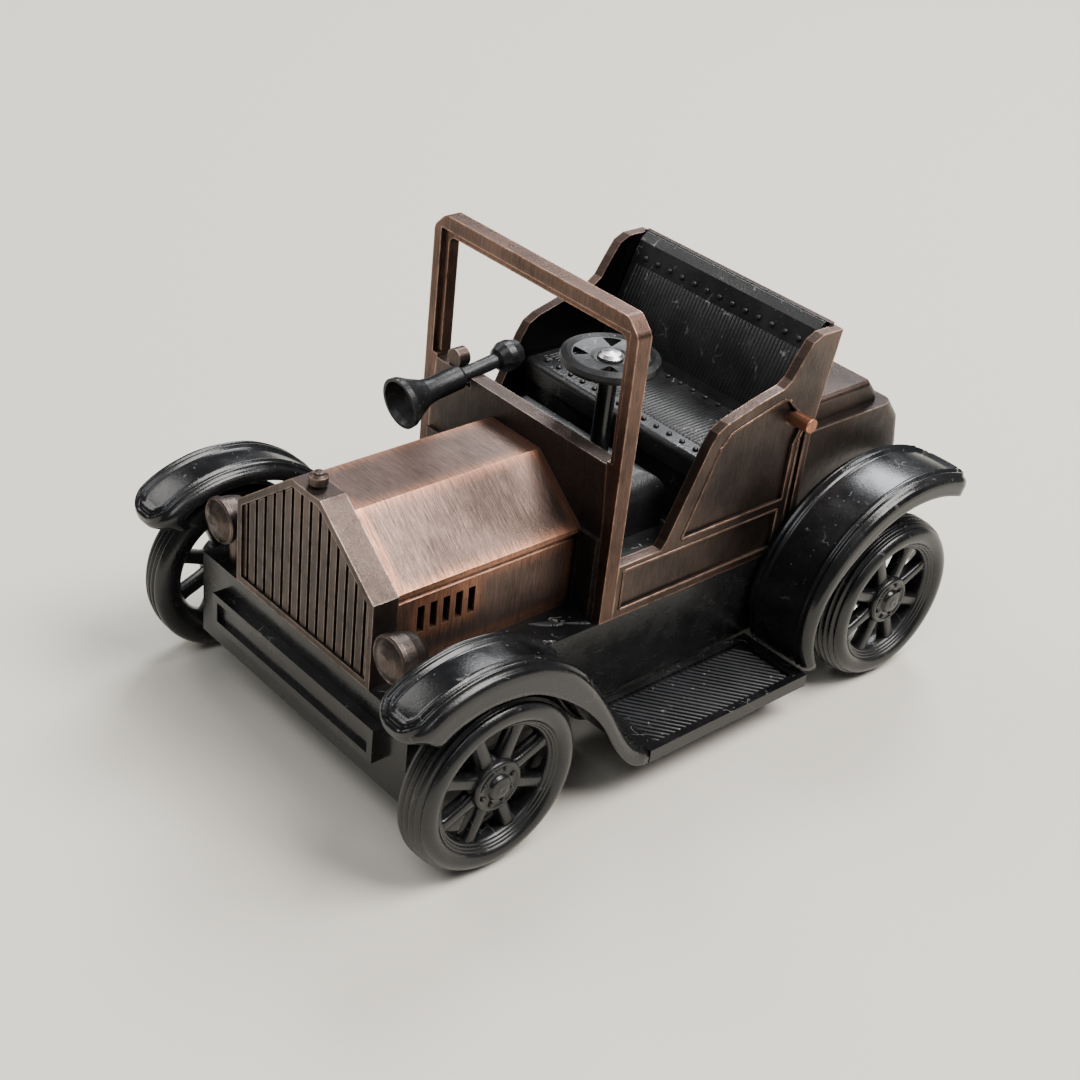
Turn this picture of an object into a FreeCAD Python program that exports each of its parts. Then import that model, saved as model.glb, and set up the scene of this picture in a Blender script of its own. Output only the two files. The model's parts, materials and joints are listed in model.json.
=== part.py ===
import FreeCAD, Part
import math
import os

import Sketcher

# Miniature die-cast open runabout: copper-finished metal body on a black plastic
# chassis with four fenders, two running boards and turning wheels.
# X is the width (the driver's side is +X), the car faces -Y and Z is up.
# The origin is on the ground, midway between the two axles.

doc = FreeCAD.newDocument("CollectorCar")

# ---------------------------------------------------------------- driving sizes
DIMENSIONS = {
    "wheelbase": 57.0,
    "wheel_radius": 9.7,
    "wheel_width": 4.2,
    "wheel_outer": 24.4,
    "axle_radius": 1.0,
    "bearing_gap": 0.05,
    "window_radius": 6.3,
    "hub_radius": 2.7,
    "chassis_half": 15.0,
    "apron_half": 17.4,
    "front_end": -34.6,
    "rear_end": 36.4,
    "chassis_bottom": 5.8,
    "deck_level": 15.5,
    "wall": 1.4,
    "bar_half": 13.7,
    "bar_low": 9.0,
    "bar_high": 12.9,
    "bar_depth": 1.2,
    "radiator_half": 11.2,
    "radiator_shoulder": 25.0,
    "radiator_peak": 31.7,
    "radiator_flat": 2.4,
    "radiator_depth": 2.9,
    "hood_half": 10.3,
    "hood_ledge": 10.9,
    "hood_ledge_level": 24.2,
    "hood_corner_level": 24.9,
    "hood_ridge_half": 3.8,
    "hood_ridge_level": 30.5,
    "cowl_face": -8.8,
    "cowl_depth": 1.8,
    "cowl_foot_half": 14.0,
    "cowl_top_half": 13.2,
    "cowl_top": 33.2,
    "frame_half": 15.1,
    "frame_top": 49.0,
    "frame_bar": 2.3,
    "frame_chamfer": 1.6,
    "panel_depth": 1.2,
    "sill_top": 21.8,
    "peg_y": 16.4,
    "peg_level": 32.3,
    "peg_radius": 0.85,
    "seat_front": 4.2,
    "seat_rear": 18.0,
    "seat_level": 29.8,
    "cabin_half": 13.7,
    "floor_level": 21.5,
    "hump_level": 27.7,
    "trunk_half": 14.2,
    "trunk_rear": 37.4,
    "trunk_level": 28.8,
    "lid_half": 13.0,
    "lid_level": 31.6,
    "column_x": 4.0,
    "column_y": -0.6,
    "steering_level": 37.6,
    "steering_radius": 5.2,
    "rivet_radius": 0.6,
    "lamp_x": 14.2,
    "lamp_level": 20.9,
    "lamp_radius": 2.5,
    "fender_inner": 17.45,
    "fender_outer": 24.4,
    "fender_skin": 1.3,
    "fender_lip": 2.6,
    "board_level": 5.4,
    "board_depth": 1.5,
    "board_front": -8.6,
    "board_rear": 15.0,
    "horn_x": -8.5,
    "horn_tilt": 8.0,
}

sheet = doc.addObject("Spreadsheet::Sheet", "dims")
for row, (alias, number) in enumerate(DIMENSIONS.items(), start=1):
    sheet.set("A%d" % row, alias)
    sheet.set("B%d" % row, str(number))
    sheet.setAlias("B%d" % row, alias)
doc.recompute()


class Size:
    """A length that knows both its number and its spreadsheet formula."""

    def __init__(self, number, formula):
        self.number = float(number)
        self.formula = formula

    def __add__(self, other):
        other = as_size(other)
        return Size(self.number + other.number, "(%s + %s)" % (self.formula, other.formula))

    def __radd__(self, other):
        return as_size(other) + self

    def __sub__(self, other):
        other = as_size(other)
        return Size(self.number - other.number, "(%s - %s)" % (self.formula, other.formula))

    def __rsub__(self, other):
        return as_size(other) - self

    def __mul__(self, factor):
        return Size(self.number * factor, "(%s * %r)" % (self.formula, float(factor)))

    def __rmul__(self, factor):
        return self * factor

    def __neg__(self):
        return Size(-self.number, "(0 - %s)" % self.formula)


def as_size(item):
    """Turn a plain number into a Size."""
    if isinstance(item, Size):
        return item
    return Size(item, "(%r)" % float(item))


def dim(alias):
    """The named size from the spreadsheet."""
    return Size(sheet.get(alias), "dims." + alias)


def bind(thing, name, size):
    """Bind one property of an object to a spreadsheet formula, in millimetres."""
    thing.setExpression(name, "%s * 1 mm" % as_size(size).formula)


# ---------------------------------------------------------------- sketch helpers
def new_body(label):
    """An empty body whose label names the sub-part."""
    body = doc.addObject("PartDesign::Body", label)
    body.Label = label
    return body


def new_sketch(body, role, offset=0):
    """A sketch on one of the body's own origin planes, moved along its normal."""
    sketch = body.newObject("Sketcher::SketchObject", body.Name + "_sketch")
    for feature in body.Origin.OriginFeatures:
        if feature.Role == role:
            sketch.AttachmentSupport = (feature, "")
    sketch.MapMode = "FlatFace"
    bind(sketch, "AttachmentOffset.Base.z", offset)
    return sketch


def hold_point(sketch, index, end, x, y):
    """Tie one end of a sketch element to coordinates from the spreadsheet."""
    for kind, value in (("DistanceX", x), ("DistanceY", y)):
        size = as_size(value)
        number = sketch.addConstraint(Sketcher.Constraint(kind, -1, 1, index, end, size.number))
        bind(sketch, "Constraints[%d]" % number, size)


def outline(sketch, points):
    """Add a closed outline of straight lines through the given corners."""
    corners = [FreeCAD.Vector(as_size(x).number, as_size(y).number, 0) for x, y in points]
    first = sketch.GeometryCount
    count = len(corners)
    for index in range(count):
        line = Part.LineSegment(corners[index], corners[(index + 1) % count])
        sketch.addGeometry(line, False)
    for index in range(count):
        following = first + (index + 1) % count
        sketch.addConstraint(Sketcher.Constraint("Coincident", first + index, 2, following, 1))
    for index, (x, y) in enumerate(points):
        hold_point(sketch, first + index, 1, x, y)


def ring(sketch, x, y, radius):
    """Add a circle with a bound centre and radius."""
    centre = FreeCAD.Vector(as_size(x).number, as_size(y).number, 0)
    index = sketch.addGeometry(Part.Circle(centre, FreeCAD.Vector(0, 0, 1), as_size(radius).number), False)
    hold_point(sketch, index, 3, x, y)
    number = sketch.addConstraint(Sketcher.Constraint("Radius", index, as_size(radius).number))
    bind(sketch, "Constraints[%d]" % number, radius)


def box_points(x_low, x_high, y_low, y_high):
    """Corners of an upright rectangle."""
    return [(x_low, y_low), (x_high, y_low), (x_high, y_high), (x_low, y_high)]


def mirrored(points):
    """Complete an outline drawn up its +x side with its mirror image."""
    return points + [(-x, y) for x, y in reversed(points)]


def pad(body, sketch, length):
    """Extrude a sketch along its plane's normal."""
    feature = body.newObject("PartDesign::Pad", body.Name + "_pad")
    feature.Profile = sketch
    bind(feature, "Length", length)
    sketch.Visibility = False
    doc.recompute()
    return feature


def pocket(body, sketch, length, reverse=False):
    """Cut a sketch into the solid and make sure that material went."""
    before = body.Shape.Volume
    feature = body.newObject("PartDesign::Pocket", body.Name + "_pocket")
    feature.Profile = sketch
    feature.Reversed = reverse
    bind(feature, "Length", length)
    doc.recompute()
    if body.Shape.Volume >= before - 1e-6:
        raise RuntimeError("pocket in %s cuts nothing" % body.Label)
    return feature


def prism(label, role, offset, length, points):
    """A body made of one extruded outline."""
    body = new_body(label)
    sketch = new_sketch(body, role, offset)
    outline(sketch, points)
    pad(body, sketch, length)
    return body


def revolve(body, role, points, axis, offset=0):
    """Turn an outline fully about one axis of its sketch."""
    sketch = new_sketch(body, role, offset)
    outline(sketch, points)
    feature = body.newObject("PartDesign::Revolution", body.Name + "_turn")
    feature.Profile = sketch
    feature.ReferenceAxis = (sketch, [axis])
    feature.Angle = 360.0
    doc.recompute()
    return feature


def polar(body, feature, axis_role, count):
    """Repeat a feature evenly about one of the body's own axes."""
    pattern = body.newObject("PartDesign::PolarPattern", body.Name + "_polar")
    pattern.Originals = [feature]
    for item in body.Origin.OriginFeatures:
        if item.Role == axis_role:
            pattern.Axis = (item, [""])
    pattern.Angle = 360.0
    pattern.Occurrences = count
    body.Tip = pattern
    doc.recompute()


def twin(label, source):
    """The matching piece on the other side of the car."""
    copy = doc.addObject("Part::Mirroring", label)
    copy.Label = label
    copy.Source = source
    copy.Normal = FreeCAD.Vector(1, 0, 0)
    copy.Base = FreeCAD.Vector(0, 0, 0)
    doc.recompute()
    return copy


def fillet_where(body, radius, test):
    """Round the edges of the body's tip whose middle point passes the test."""
    base = body.Tip
    names = []
    for number, edge in enumerate(body.Shape.Edges, start=1):
        middle = edge.valueAt((edge.FirstParameter + edge.LastParameter) / 2)
        if test(edge, middle):
            names.append("Edge%d" % number)
    feature = body.newObject("PartDesign::Fillet", body.Name + "_fillet")
    feature.Base = (base, names)
    bind(feature, "Radius", radius)
    doc.recompute()


def solid_node(label, shape):
    """A sub-part whose shape is built by code."""
    node = doc.addObject("Part::Feature", label)
    node.Label = label
    node.Shape = shape.removeSplitter()
    node.Placement = FreeCAD.Placement()
    return node


def cylinder(label, radius, height, place, turn):
    """A plain cylinder primitive with bound sizes."""
    item = doc.addObject("Part::Cylinder", label)
    item.Label = label
    bind(item, "Radius", radius)
    bind(item, "Height", height)
    item.Placement = FreeCAD.Placement(place, turn)
    return item


nodes = []
TO_X = FreeCAD.Rotation(FreeCAD.Vector(0, 1, 0), 90)
front_axle_y = -0.5 * dim("wheelbase")
rear_axle_y = 0.5 * dim("wheelbase")

# ---------------------------------------------------------------- black chassis tray
deck = dim("deck_level")
chassis = prism("chassis_tray", "XY_Plane", dim("chassis_bottom"), deck - dim("chassis_bottom"),
                box_points(-dim("chassis_half"), dim("chassis_half"), dim("front_end"), dim("rear_end")))
for x_side in (-1, 1):
    wing = new_sketch(chassis, "XY_Plane", deck - 1.9)
    outline(wing, box_points(*sorted((x_side * (dim("chassis_half") - 1), x_side * dim("apron_half")),
                                     key=lambda size: size.number),
                             dim("front_end"), as_size(-17.6)))
    pad(chassis, wing, 1.9)
apron = new_sketch(chassis, "XZ_Plane", -(dim("front_end") + dim("wall")))
outline(apron, box_points(-dim("apron_half"), dim("apron_half"), dim("chassis_bottom"), deck))
pad(chassis, apron, dim("wall"))
hollow = new_sketch(chassis, "XY_Plane", dim("chassis_bottom"))
outline(hollow, box_points(dim("wall") - dim("chassis_half"), dim("chassis_half") - dim("wall"),
                           dim("front_end") + dim("wall"), dim("rear_end") - dim("wall")))
pocket(chassis, hollow, deck - dim("chassis_bottom") - 1.8, reverse=True)
bearings = new_sketch(chassis, "YZ_Plane", -dim("apron_half") - 1)
for axle_y in (front_axle_y, rear_axle_y):
    ring(bearings, axle_y, dim("wheel_radius"), dim("axle_radius") + dim("bearing_gap"))
pocket(chassis, bearings, 2 * dim("apron_half") + 2, reverse=True)
screw_holes = new_sketch(chassis, "XY_Plane", deck)
SCREW_Y = (-20.0, 23.5)
for screw_y in SCREW_Y:
    ring(screw_holes, 0, screw_y, dim("axle_radius"))
pocket(chassis, screw_holes, 3)
nodes.append(chassis)

# the two screws that come up from below, one into the hood and one into the trunk
screws = []
for screw_y in SCREW_Y:
    head_level = deck.number - 1.8
    head = Part.makeCylinder(2.1, 1.2, FreeCAD.Vector(0, screw_y, head_level - 1.2))
    slot = Part.makeBox(4.4, 0.5, 0.5, FreeCAD.Vector(-2.2, screw_y - 0.25, head_level - 1.2))
    shank = Part.makeCylinder(dim("axle_radius").number, 5.8, FreeCAD.Vector(0, screw_y, head_level))
    screws.append(head.cut(slot).fuse(shank))
nodes.append(solid_node("body_screws", Part.makeCompound(screws)))

# number-plate bar on the apron, with a plain sunk panel
bar = prism("number_plate_bar", "XZ_Plane", -dim("front_end"), dim("bar_depth"),
            box_points(-dim("bar_half"), dim("bar_half"), dim("bar_low"), dim("bar_high")))
panel = new_sketch(bar, "XZ_Plane", dim("bar_depth") - dim("front_end"))
outline(panel, box_points(0.8 - dim("bar_half"), dim("bar_half") - 0.8,
                          dim("bar_low") + 0.8, dim("bar_high") - 0.8))
pocket(bar, panel, 0.5)
nodes.append(bar)

# ---------------------------------------------------------------- radiator
radiator_back = dim("front_end") + dim("radiator_depth")


def radiator_outline(inset):
    """The five-cornered radiator front, shrunk all round by the inset."""
    return mirrored([
        (dim("radiator_half") - inset, deck + inset),
        (dim("radiator_half") - inset, dim("radiator_shoulder") - 0.5 * inset),
        (dim("radiator_flat") - 0.4 * inset, dim("radiator_peak") - inset),
    ])


shell = prism("radiator_shell", "XZ_Plane", -radiator_back, dim("radiator_depth"), radiator_outline(0.0))
recess = new_sketch(shell, "XZ_Plane", -dim("front_end"))
outline(recess, radiator_outline(0.75))
pocket(shell, recess, 1.4)
nodes.append(shell)

grille = prism("radiator_grille", "XZ_Plane", -(dim("front_end") + 1.4), 1.15, radiator_outline(0.8))
gaps = new_sketch(grille, "XZ_Plane", -(dim("front_end") + 0.25))
RIB_COUNT = 14
RIB_PITCH = 2 * (dim("radiator_half") - 0.8) * (1.0 / RIB_COUNT)
for rib in range(RIB_COUNT):
    gap_x = (rib + 0.5 - RIB_COUNT / 2) * RIB_PITCH
    outline(gaps, box_points(gap_x - 0.22, gap_x + 0.22, deck - 1, dim("radiator_peak") + 1))
pocket(grille, gaps, 0.75)
nodes.append(grille)

cap = new_body("radiator_cap")
revolve(cap, "XZ_Plane", [(0, 0), (0.75, 0), (0.75, 0.25), (0.95, 0.35), (0.95, 1.1), (0.6, 1.3), (0.5, 1.5), (0, 1.55)],
        "V_Axis")
cap.Placement.Base = FreeCAD.Vector(0, dim("front_end").number + 1.5, dim("radiator_peak").number)
nodes.append(cap)

# ---------------------------------------------------------------- hood
hood_length = dim("cowl_face") - radiator_back
hood = prism("hood", "XZ_Plane", -dim("cowl_face"), hood_length, mirrored([
    (dim("hood_half"), deck),
    (dim("hood_half"), dim("hood_ledge_level") - 0.9),
    (dim("hood_half") + 0.25, dim("hood_ledge_level") - 0.7),
    (dim("hood_half"), dim("hood_ledge_level") - 0.5),
    (dim("hood_half"), dim("hood_ledge_level")),
    (dim("hood_ledge"), dim("hood_ledge_level") + 0.2),
    (dim("hood_ledge"), dim("hood_corner_level")),
    (dim("hood_ridge_half"), dim("hood_ridge_level")),
]))
inside = new_sketch(hood, "XZ_Plane", -(dim("cowl_face") - dim("wall")))
outline(inside, mirrored([
    (dim("hood_half") - dim("wall"), deck),
    (dim("hood_half") - dim("wall"), dim("hood_corner_level") - 1),
    (dim("hood_ridge_half") - 0.5, dim("hood_ridge_level") - 1.5),
]))
pocket(hood, inside, hood_length - 2 * dim("wall"), reverse=True)
louvres = new_sketch(hood, "YZ_Plane", dim("hood_ledge"))
LOUVRE_COUNT = 5
for slot in range(LOUVRE_COUNT):
    low_y = radiator_back + 3.1 + 1.55 * slot
    outline(louvres, box_points(low_y, low_y + 0.85, 19.2, 22.2))
pocket(hood, louvres, 2 * dim("hood_ledge"))
boss = new_sketch(hood, "XY_Plane", deck)
ring(boss, 0, SCREW_Y[0], 2.4)
pad(hood, boss, dim("hood_ridge_level") - deck - 1)
thread = new_sketch(hood, "XY_Plane", deck)
ring(thread, 0, SCREW_Y[0], dim("axle_radius"))
pocket(hood, thread, 5, reverse=True)
nodes.append(hood)

# ---------------------------------------------------------------- cowl and windshield
cowl_back = dim("cowl_face") + dim("cowl_depth")
cowl_edge = [
    (dim("cowl_foot_half"), deck),
    (dim("cowl_foot_half") - 0.3, dim("cowl_top") - 6),
    (dim("cowl_top_half"), dim("cowl_top")),
]
cowl = prism("cowl_plate", "XZ_Plane", -cowl_back, dim("cowl_depth"), mirrored(cowl_edge))
horn_saddle = new_sketch(cowl, "XZ_Plane", -dim("cowl_face"))
outline(horn_saddle, box_points(dim("horn_x") - 0.95, dim("horn_x") + 0.95,
                                dim("cowl_top") - 1.1, dim("cowl_top") + 1))
pocket(cowl, horn_saddle, dim("cowl_depth"))
for low_x, high_x in ((-13.6, -dim("hood_ledge") - 0.05), (dim("hood_ledge") + 0.05, 13.6)):
    thick_foot = new_sketch(cowl, "XZ_Plane", -dim("cowl_face"))
    outline(thick_foot, box_points(low_x, high_x, deck, dim("hood_corner_level")))
    pad(cowl, thick_foot, 0.35)
horn_lug = new_sketch(cowl, "XZ_Plane", 0.2 - cowl_back)
ring(horn_lug, dim("horn_x") - 2.2, dim("cowl_top") + 0.9, 1.05)
pad(cowl, horn_lug, 1.4)
nodes.append(cowl)

frame_inner_top = dim("frame_top") - dim("frame_bar")
frame_outer = [
    (dim("frame_half"), deck),
    (dim("frame_half"), dim("frame_top") - dim("frame_chamfer")),
    (dim("frame_half") - dim("frame_chamfer"), dim("frame_top")),
]
frame_loop = frame_outer + [(-x, y) for x, y in reversed(frame_outer)]
frame_loop += [(-x, y) for x, y in cowl_edge]
frame_loop += [(-dim("cowl_top_half"), frame_inner_top), (dim("cowl_top_half"), frame_inner_top)]
frame_loop += reversed(cowl_edge)
windshield = prism("windshield_frame", "XZ_Plane", -cowl_back, dim("cowl_depth"), frame_loop)
fillet_where(windshield, 1.1, lambda edge, middle: middle.z > 47 and abs(middle.x) > 13.3
             and abs(middle.y - (cowl_back - dim("cowl_depth") * 0.5).number) < 0.01)
fillet_where(windshield, 0.9, lambda edge, middle: abs(middle.z - frame_inner_top.number) < 0.01
             and abs(middle.x) > 13.1
             and abs(middle.y - (cowl_back - dim("cowl_depth") * 0.5).number) < 0.01)
step = new_sketch(windshield, "XZ_Plane", -dim("cowl_face"))
outline(step, box_points(-dim("cowl_top_half") - 0.8, dim("cowl_top_half") + 0.8,
                         dim("cowl_top") + 0.4, frame_inner_top + 0.8))
pocket(windshield, step, 0.5)
nodes.append(windshield)

# ---------------------------------------------------------------- side panels
panel_inner = dim("frame_half") - dim("panel_depth")
side = new_body("side_panel_left")
side_sketch = new_sketch(side, "YZ_Plane", panel_inner)
outline(side_sketch, [
    (cowl_back, deck), (19.6, deck), (19.7, 30.0), (20.2, 33.0), (21.7, 41.2), (18.6, 41.2),
    (17.3, 40.6), (16.2, 39.0), (14.9, 36.9), (13.9, 36.2), (10.5, 35.5), (6.0, 34.3), (4.7, 33.6),
    (3.8, 32.2), (-0.6, dim("sill_top") + 0.8), (-1.2, dim("sill_top")), (cowl_back, dim("sill_top")),
])
pad(side, side_sketch, dim("panel_depth"))
sunk = new_sketch(side, "YZ_Plane", dim("frame_half"))
outline(sunk, box_points(cowl_back + 0.8, 16.4, deck + 0.9, dim("sill_top") - 0.7))
outline(sunk, [(1.6, dim("sill_top") + 0.4), (16.9, dim("sill_top") + 0.4), (17.0, 29.0), (18.0, 31.4),
               (15.2, 34.6), (14.2, 34.9), (6.9, 33.1), (5.6, 31.8)])
outline(sunk, [(17.7, deck + 0.9), (18.7, deck + 0.9), (18.8, 30.0), (18.2, 30.6), (17.8, 29.4)])
pocket(side, sunk, 0.35)
peg_hole = new_sketch(side, "YZ_Plane", dim("frame_half"))
ring(peg_hole, dim("peg_y"), dim("peg_level"), dim("peg_radius"))
pocket(side, peg_hole, dim("panel_depth"))
nodes.append(side)
nodes.append(twin("side_panel_right", side))

peg = new_body("hood_prop_peg_left")
peg_sketch = new_sketch(peg, "YZ_Plane", panel_inner)
ring(peg_sketch, dim("peg_y"), dim("peg_level"), dim("peg_radius"))
pad(peg, peg_sketch, dim("panel_depth") + 2.5)
fillet_where(peg, 0.2, lambda edge, middle: middle.x > 17)
nodes.append(peg)
nodes.append(twin("hood_prop_peg_right", peg))

# ---------------------------------------------------------------- seat back wall and trunk
back_wall = prism("seat_back_shell", "YZ_Plane", -panel_inner, 2 * panel_inner, [
    (18.1, deck), (19.4, deck), (19.5, 30.0), (20.0, 33.0), (21.6, 41.5), (20.95, 41.5), (18.1, 34.2),
])
nodes.append(back_wall)

trunk = prism("rear_trunk", "YZ_Plane", -dim("trunk_half"), 2 * dim("trunk_half"), [
    (19.75, deck), (dim("trunk_rear"), deck), (dim("trunk_rear") + 0.2, 23.0),
    (dim("trunk_rear") - 0.6, 26.6), (dim("trunk_rear") - 2.4, dim("trunk_level")),
    (19.75, dim("trunk_level")),
])
fillet_where(trunk, 1.4, lambda edge, middle: abs(abs(middle.x) - 14.2) < 0.01 and middle.y > 35.2
             and middle.z > 16)
trunk_hollow = new_sketch(trunk, "XY_Plane", deck)
outline(trunk_hollow, box_points(dim("wall") - dim("trunk_half"), dim("trunk_half") - dim("wall"),
                                 21.0, dim("trunk_rear") - 2.2))
pocket(trunk, trunk_hollow, dim("trunk_level") - deck - 2.2, reverse=True)
trunk_boss = new_sketch(trunk, "XY_Plane", deck)
ring(trunk_boss, 0, SCREW_Y[1], 2.4)
pad(trunk, trunk_boss, dim("trunk_level") - deck - 1)
trunk_thread = new_sketch(trunk, "XY_Plane", deck)
ring(trunk_thread, 0, SCREW_Y[1], dim("axle_radius"))
pocket(trunk, trunk_thread, 5, reverse=True)
nodes.append(trunk)

lid = prism("trunk_lid", "YZ_Plane", -dim("lid_half"), 2 * dim("lid_half"), [
    (20.6, dim("trunk_level")), (33.4, dim("trunk_level")), (33.2, 29.8), (31.6, dim("lid_level")),
    (20.6, dim("lid_level")),
])
fillet_where(lid, 0.7, lambda edge, middle: abs(abs(middle.x) - 13.0) < 0.01 and middle.z > 29)
nodes.append(lid)

# ---------------------------------------------------------------- cabin
floor = prism("cabin_floor", "XY_Plane", deck, dim("floor_level") - deck,
              box_points(-dim("cabin_half"), dim("cabin_half"), cowl_back + 0.1, 18.0))
nodes.append(floor)
hump = prism("toe_board", "YZ_Plane", -11.0, 22.0,
             box_points(cowl_back + 0.1, 2.6, dim("floor_level"), dim("hump_level")))
fillet_where(hump, 2.2, lambda edge, middle: middle.z > 27.6 and middle.y > -6)
column_hole = new_sketch(hump, "XY_Plane", dim("floor_level"))
ring(column_hole, dim("column_x"), dim("column_y"), 1.0)
pocket(hump, column_hole, 10, reverse=True)
nodes.append(hump)

seat_base = prism("seat_base", "XY_Plane", dim("floor_level"), dim("seat_level") - dim("floor_level") - 2.4,
                  box_points(-13.4, 13.4, dim("seat_front") + 0.4, dim("seat_rear")))
nodes.append(seat_base)
cushion = prism("seat_cushion", "XY_Plane", dim("seat_level") - 2.4, 2.4,
                box_points(-13.4, 13.4, dim("seat_front"), dim("seat_rear")))
fillet_where(cushion, 0.8, lambda edge, middle: middle.z > 29.7 and abs(middle.x) < 13.3 and middle.y < 5)
nodes.append(cushion)
seat_back = prism("seat_back_pad", "YZ_Plane", -13.4, 26.8, [
    (15.4, dim("seat_level")), (18.05, dim("seat_level")), (18.05, 34.25), (20.85, 41.45), (20.7, 41.45),
    (19.8, 40.7),
])
nodes.append(seat_back)

# ---------------------------------------------------------------- steering
steering_x = dim("column_x")
steering_y = dim("column_y")
steering_place = FreeCAD.Vector(steering_x.number, steering_y.number, dim("steering_level").number)
column = new_body("steering_column")
column_sketch = new_sketch(column, "XY_Plane", dim("floor_level"))
ring(column_sketch, steering_x, steering_y, 1.0)
pad(column, column_sketch, dim("steering_level") - dim("floor_level") - 0.1)
column_bore = new_sketch(column, "XY_Plane", dim("steering_level") - 0.1)
ring(column_bore, steering_x, steering_y, dim("rivet_radius"))
pocket(column, column_bore, 3)
nodes.append(column)

steering = new_body("steering_wheel")
revolve(steering, "XZ_Plane", [
    (dim("rivet_radius") + 0.06, 0), (1.7, 0), (2.0, 0.5), (3.9, 0.7), (dim("steering_radius") - 0.9, 0.35),
    (dim("steering_radius") - 0.2, 0.4), (dim("steering_radius"), 0.8), (dim("steering_radius") - 0.1, 1.3),
    (dim("steering_radius") - 0.7, 1.6), (4.0, 1.35), (2.1, 1.15), (1.7, 1.0), (dim("rivet_radius") + 0.06, 1.0),
], "V_Axis")
slots = new_sketch(steering, "XY_Plane", 2.5)
outline(slots, [(1.55, 1.7), (1.7, 1.55), (3.3, 1.9), (3.15, 2.3), (2.75, 2.75), (2.3, 3.15), (1.9, 3.3)])
slot_cut = pocket(steering, slots, 3)
polar(steering, slot_cut, "Z_Axis", 4)
steering.Placement.Base = steering_place
nodes.append(steering)

rivet = new_body("steering_rivet")
revolve(rivet, "XZ_Plane", [
    (0, -3.0), (dim("rivet_radius"), -3.0), (dim("rivet_radius"), 1.06), (1.35, 1.06), (1.35, 1.3),
    (1.0, 1.6), (0, 1.75),
], "V_Axis")
rivet.Placement.Base = steering_place
nodes.append(rivet)

# ---------------------------------------------------------------- bulb horn
horn = new_body("bulb_horn")
revolve(horn, "XY_Plane", [
    (0, -6.3), (1.2, -7.0), (2.1, -7.9), (2.4, -8.5), (2.75, -8.5), (2.7, -7.9), (2.05, -6.7), (1.45, -5.4),
    (1.25, -4.2), (1.25, -0.9), (1.0, -0.5), (0.8, -0.4), (0.8, 4.0), (1.2, 4.3), (1.65, 5.2), (1.65, 6.0),
    (1.3, 7.0), (0.6, 7.5), (0, 7.55),
], "V_Axis")
horn.Placement = FreeCAD.Placement(
    FreeCAD.Vector(dim("horn_x").number, -8.8, dim("cowl_top").number + 0.05),
    FreeCAD.Rotation(FreeCAD.Vector(1, 0, 0), dim("horn_tilt").number))
nodes.append(horn)

# ---------------------------------------------------------------- headlights
lamp = new_body("headlight_left")
revolve(lamp, "XY_Plane", [
    (0, -2.7), (0.9, -2.55), (1.6, -2.2), (dim("lamp_radius") - 0.35, -1.75), (dim("lamp_radius") - 0.2, -1.95),
    (dim("lamp_radius"), -1.75), (dim("lamp_radius"), -1.25), (dim("lamp_radius") - 0.15, -1.1),
    (dim("lamp_radius") - 0.25, -0.1), (1.9, 1.0), (1.3, 1.75), (0.7, 2.15), (0, 2.3),
], "V_Axis")
stem = new_sketch(lamp, "XY_Plane", deck - dim("lamp_level"))
ring(stem, 0, 0.4, 0.8)
pad(lamp, stem, dim("lamp_level") - deck - 1)
lamp.Placement.Base = FreeCAD.Vector(dim("lamp_x").number, -33.0, dim("lamp_level").number)
nodes.append(lamp)
nodes.append(twin("headlight_right", lamp))

# ---------------------------------------------------------------- fenders
FRONT_LINE = [(-39.6, 18.6), (-38.6, 20.3), (-36.0, 22.0), (-32.5, 23.0), (-29.0, 23.1), (-25.0, 22.3),
              (-21.0, 20.1), (-17.8, 17.0), (-15.0, 13.0), (-12.6, 8.9), (-11.0, 6.7), (-9.8, 5.7), (-8.6, 5.4)]
REAR_LINE = [(15.4, 5.4), (14.3, 8.0), (13.9, 11.0), (14.6, 14.6), (16.6, 18.2), (19.6, 21.2), (23.6, 23.4),
             (28.0, 24.4), (32.4, 24.3), (36.4, 23.3), (39.4, 21.9)]


def offset_line(line, distance):
    """Move a side-view line sideways by a distance, at right angles to itself."""
    moved = []
    for index, (y, z) in enumerate(line):
        y_from, z_from = line[max(index - 1, 0)]
        y_to, z_to = line[min(index + 1, len(line) - 1)]
        length = math.hypot(y_to - y_from, z_to - z_from)
        moved.append((y + (z_to - z_from) / length * distance, z - (y_to - y_from) / length * distance))
    return moved


def strip(line, top, bottom, x_low, x_high):
    """A bent strip between two offsets of a side-view line, as wide as the x range."""
    upper = [FreeCAD.Vector(x_low, y, z) for y, z in offset_line(line, top)]
    lower = [FreeCAD.Vector(x_low, y, z) for y, z in offset_line(line, bottom)]
    upper_curve = Part.BSplineCurve()
    upper_curve.interpolate(upper)
    lower_curve = Part.BSplineCurve()
    lower_curve.interpolate(lower)
    edges = [upper_curve.toShape(), Part.makeLine(upper[-1], lower[-1]), lower_curve.toShape(),
             Part.makeLine(lower[0], upper[0])]
    face = Part.Face(Part.Wire(Part.__sortEdges__(edges)))
    return face.extrude(FreeCAD.Vector(x_high - x_low, 0, 0))


def corner_tool(x, y, radius):
    """The stock outside a rounded plan corner at (x, y), opening towards -Y."""
    block = Part.makeBox(radius + 1, radius + 1, 60, FreeCAD.Vector(x - radius, y - 1, -5))
    rod = Part.makeCylinder(radius, 60, FreeCAD.Vector(x - radius, y + radius, -5))
    return block.cut(rod)


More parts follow.
